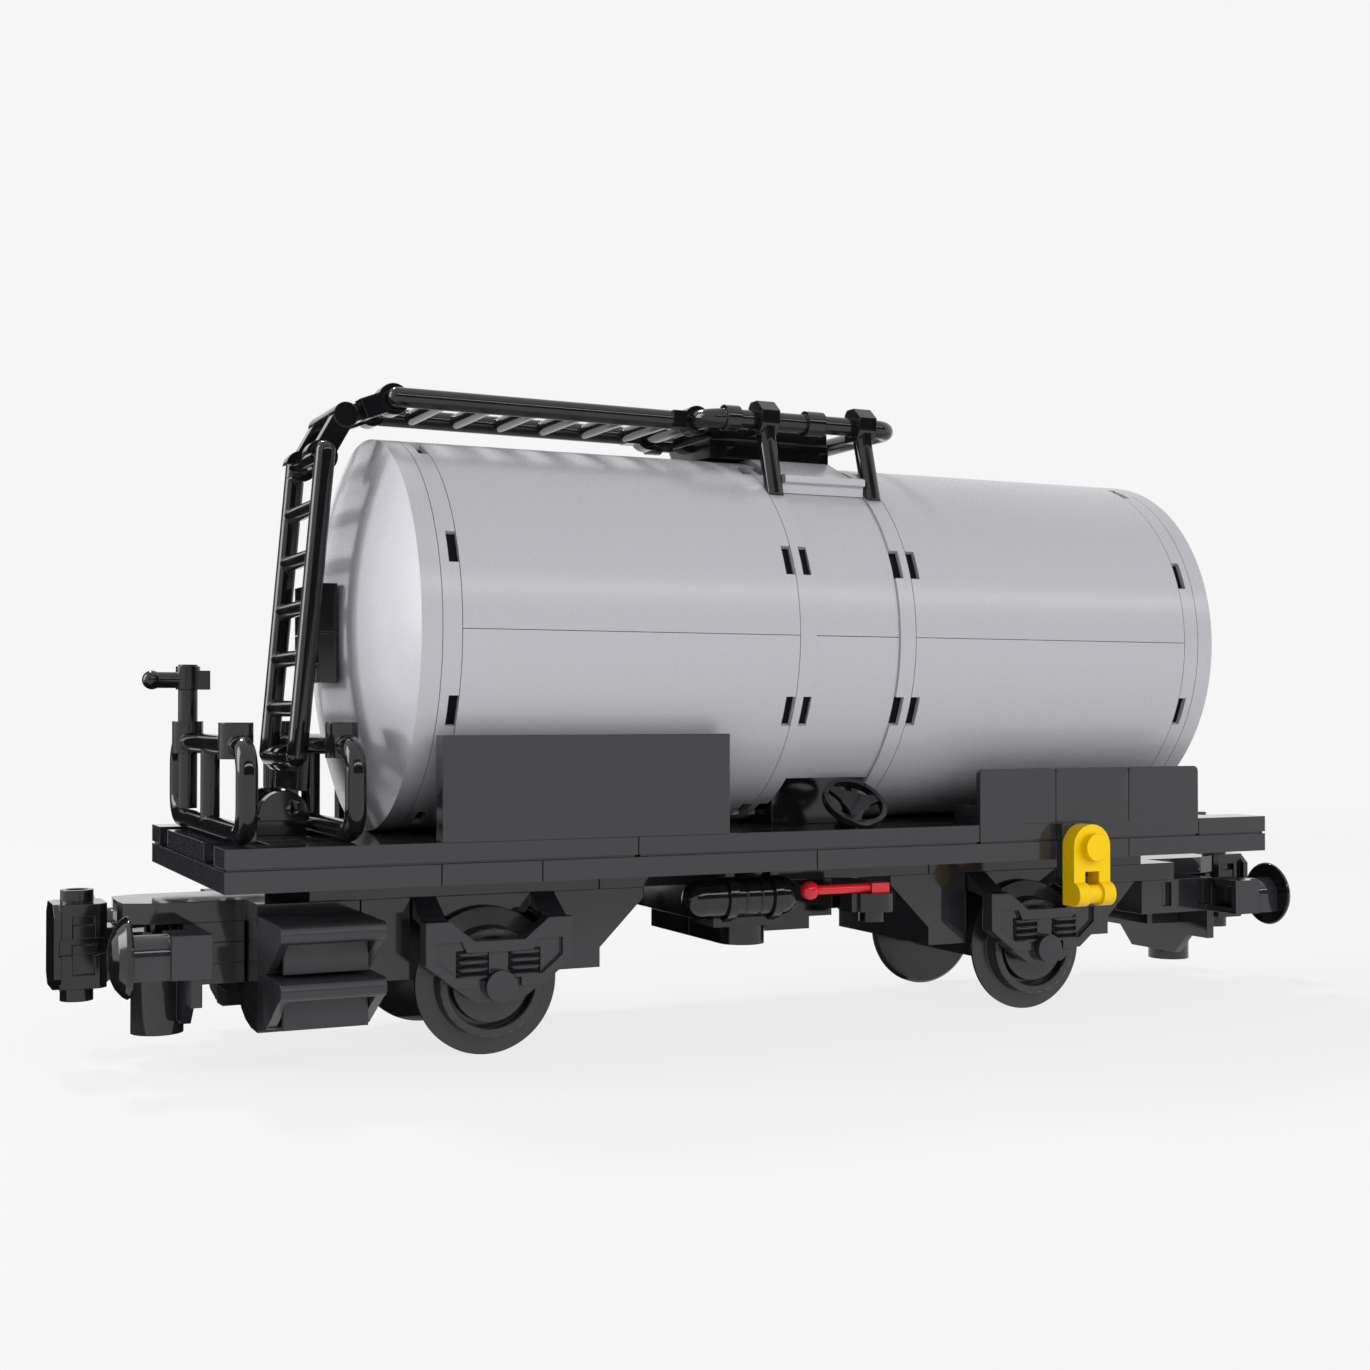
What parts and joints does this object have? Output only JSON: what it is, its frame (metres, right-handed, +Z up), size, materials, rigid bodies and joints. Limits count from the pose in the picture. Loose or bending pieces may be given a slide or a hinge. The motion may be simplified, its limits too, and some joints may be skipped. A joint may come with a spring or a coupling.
{
  "type": "toy railway tank car, brick-built",
  "caption": "Brick-built toy railway tank car on single axles with a banded round tank, end ladder, top guard rail, buffers and swinging couplings.",
  "frame": {"origin": "half way along the deck on its centre line, at rail level, where the wheel flanges stand", "axes": "+Z up, +X along the wagon away from the ladder end, +Y to its left"},
  "size_m": [0.2318, 0.077, 0.1076],
  "materials": {
    "frame_plastic": "glossy moulded",
    "black_plastic": "glossy moulded",
    "wheel_plastic": "glossy moulded",
    "tank_plastic": "glossy moulded",
    "red_plastic": "glossy moulded",
    "yellow_plastic": "glossy moulded",
    "axle_steel": "drawn rod"
  },
  "bodies": {
    "wagon": {"air_reservoir": "black_plastic", "axle_frame_front": "frame_plastic", "axle_frame_rear": "frame_plastic", "brake_crank": "black_plastic", "buffer_beam_front": "frame_plastic", "buffer_beam_rear": "frame_plastic", "buffer_discs_front": "black_plastic", "buffer_discs_rear": "black_plastic", "deck_centre_tiles": "frame_plastic", "deck_edge_tiles": "frame_plastic", "deck_plates": "frame_plastic", "filler_box": "black_plastic", "guard_legs": "black_plastic", "guard_rail": "black_plastic", "handle_bracket": "frame_plastic", "handle_yellow": "yellow_plastic", "ladder_bracket": "black_plastic", "ladder_end": "black_plastic", "ladder_foot": "black_plastic", "ladder_hinge_lower": "black_plastic", "ladder_hinge_upper": "black_plastic", "ladder_top": "black_plastic", "lever_base": "black_plastic", "lever_red": "red_plastic", "nose_plate_front": "frame_plastic", "nose_plate_rear": "frame_plastic", "nose_stack_front": "frame_plastic", "nose_stack_rear": "frame_plastic", "railing_inner": "black_plastic", "railing_outer": "black_plastic", "reservoir_straps": "black_plastic", "side_panel_tall": "frame_plastic", "side_panels_low": "frame_plastic", "sill_brackets": "frame_plastic", "sill_plates": "frame_plastic", "steps": "frame_plastic", "tank_band_left": "tank_plastic", "tank_band_right": "tank_plastic", "tank_core": "black_plastic", "tank_dish_front": "tank_plastic", "tank_dish_rear": "tank_plastic", "tank_lower_front": "tank_plastic", "tank_lower_rear": "tank_plastic", "tank_rings": "tank_plastic", "tank_top_saddle": "tank_plastic", "tank_top_slab": "tank_plastic", "tank_upper_front": "tank_plastic", "tank_upper_rear": "tank_plastic", "under_block_lower": "black_plastic", "under_blocks": "black_plastic", "under_drum": "black_plastic", "valve_wheel": "black_plastic"},
    "wheelset_front": {"wheels_front": "wheel_plastic", "axle_front": "axle_steel"},
    "wheelset_rear": {"wheels_rear": "wheel_plastic", "axle_rear": "axle_steel"},
    "coupler_front": {"coupling_front": "black_plastic"},
    "coupler_rear": {"coupling_rear": "black_plastic"}
  },
  "joints": [
    {"name": "wheelset_front_spin", "type": "hinge", "parent": "wagon", "child": "wheelset_front", "pos_m": [-0.052, 0, 0.0117], "axis": [0, 1, 0], "continuous": true},
    {"name": "wheelset_rear_spin", "type": "hinge", "parent": "wagon", "child": "wheelset_rear", "pos_m": [0.052, 0, 0.0117], "axis": [0, 1, 0], "continuous": true},
    {"name": "coupler_front_swing", "type": "hinge", "parent": "wagon", "child": "coupler_front", "pos_m": [-0.1, 0, 0.0188], "axis": [0, 0, 1], "range_deg": [-12, 12]},
    {"name": "coupler_rear_swing", "type": "hinge", "parent": "wagon", "child": "coupler_rear", "pos_m": [0.1, 0, 0.0188], "axis": [0, 0, 1], "range_deg": [-12, 12]}
  ]
}
